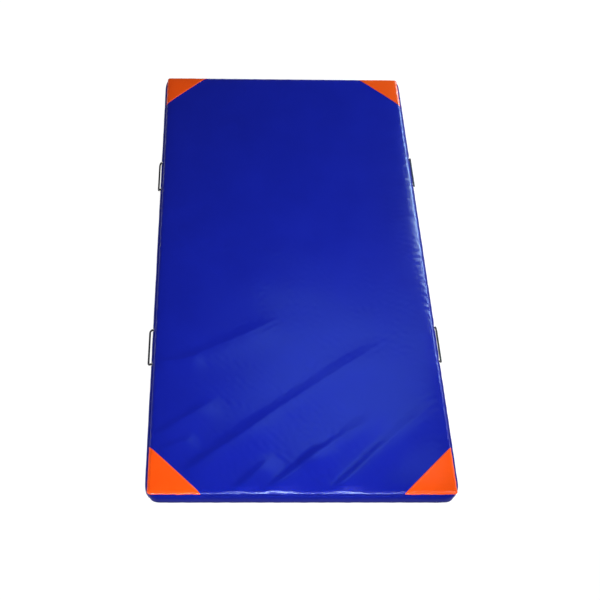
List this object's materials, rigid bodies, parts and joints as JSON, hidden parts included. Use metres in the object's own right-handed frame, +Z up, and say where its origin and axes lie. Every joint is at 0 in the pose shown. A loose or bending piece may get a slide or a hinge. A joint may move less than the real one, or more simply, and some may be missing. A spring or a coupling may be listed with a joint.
{
  "type": "gym mat",
  "caption": "Rectangular floor mat for gymnastics and martial arts: a foam core in a blue vinyl cover with orange corner patches, black side handles and a zip in one end wall.",
  "frame": {"origin": "centre of the footprint, on the floor under the mat", "axes": "+Y along the length, towards the end with the zip; +X along the width; +Z up out of the top"},
  "size_m": [1.0403, 2.016, 0.0606],
  "materials": {
    "cover_vinyl": "satin",
    "patch_vinyl": "satin",
    "grip_sheet": "matte",
    "soft_foam": "matte",
    "firm_foam": "matte",
    "handle_rubber": "satin",
    "anchor_webbing": "matte",
    "nickel": "satin",
    "zip_tape": "matte",
    "zip_coil": "satin",
    "thread": "matte",
    "patch_thread": "matte"
  },
  "bodies": {
    "root": {"foam_comfort_layer": "soft_foam", "foam_base_layer": "firm_foam", "base_sheet": "grip_sheet", "cover_top": "cover_vinyl", "wall_left": "cover_vinyl", "wall_right": "cover_vinyl", "wall_near": "cover_vinyl", "wall_far_upper": "cover_vinyl", "wall_far_lower": "cover_vinyl", "zip_end_cover_left": "cover_vinyl", "zip_end_cover_right": "cover_vinyl", "patch_near_left": "patch_vinyl", "patch_near_right": "patch_vinyl", "patch_far_left": "patch_vinyl", "patch_far_right": "patch_vinyl", "anchor_left_near": "anchor_webbing", "anchor_left_far": "anchor_webbing", "anchor_right_near": "anchor_webbing", "anchor_right_far": "anchor_webbing", "handle_eyelets": "nickel", "zip_tape_upper": "zip_tape", "zip_tape_lower": "zip_tape", "zip_coil_upper": "zip_coil", "zip_coil_lower": "zip_coil", "zip_stops": "nickel"},
    "handle_left_near": {"handle_left_near": "handle_rubber"},
    "handle_left_far": {"handle_left_far": "handle_rubber"},
    "handle_right_near": {"handle_right_near": "handle_rubber"},
    "handle_right_far": {"handle_right_far": "handle_rubber"},
    "zip_slider": {"zip_slider": "nickel"},
    "zip_pull": {"zip_pull": "nickel"}
  },
  "joints": [
    {"name": "handle_left_near_flex", "type": "hinge", "parent": "root", "child": "handle_left_near", "pos_m": [-0.51079, -0.418, 0.03905], "axis": [0, 1, 0], "range_deg": [-32, 128], "stiffness_Nm_per_rad": 0.05},
    {"name": "handle_left_far_flex", "type": "hinge", "parent": "root", "child": "handle_left_far", "pos_m": [-0.51079, 0.42, 0.03905], "axis": [0, 1, 0], "range_deg": [-12, 148], "stiffness_Nm_per_rad": 0.05},
    {"name": "handle_right_near_flex", "type": "hinge", "parent": "root", "child": "handle_right_near", "pos_m": [0.51079, -0.401, 0.03905], "axis": [0, -1, 0], "range_deg": [-10, 150], "stiffness_Nm_per_rad": 0.05},
    {"name": "handle_right_far_flex", "type": "hinge", "parent": "root", "child": "handle_right_far", "pos_m": [0.51079, 0.454, 0.03905], "axis": [0, -1, 0], "range_deg": [0, 160], "stiffness_Nm_per_rad": 0.05},
    {"name": "zip_slide", "type": "slide", "parent": "root", "child": "zip_slider", "axis": [-1, 0, 0], "range_m": [0, 0.824]},
    {"name": "zip_pull_swing", "type": "hinge", "parent": "zip_slider", "child": "zip_pull", "pos_m": [0.412, 1.0039, 0.0256], "axis": [0, 0, -1], "range_deg": [0, 170]}
  ]
}
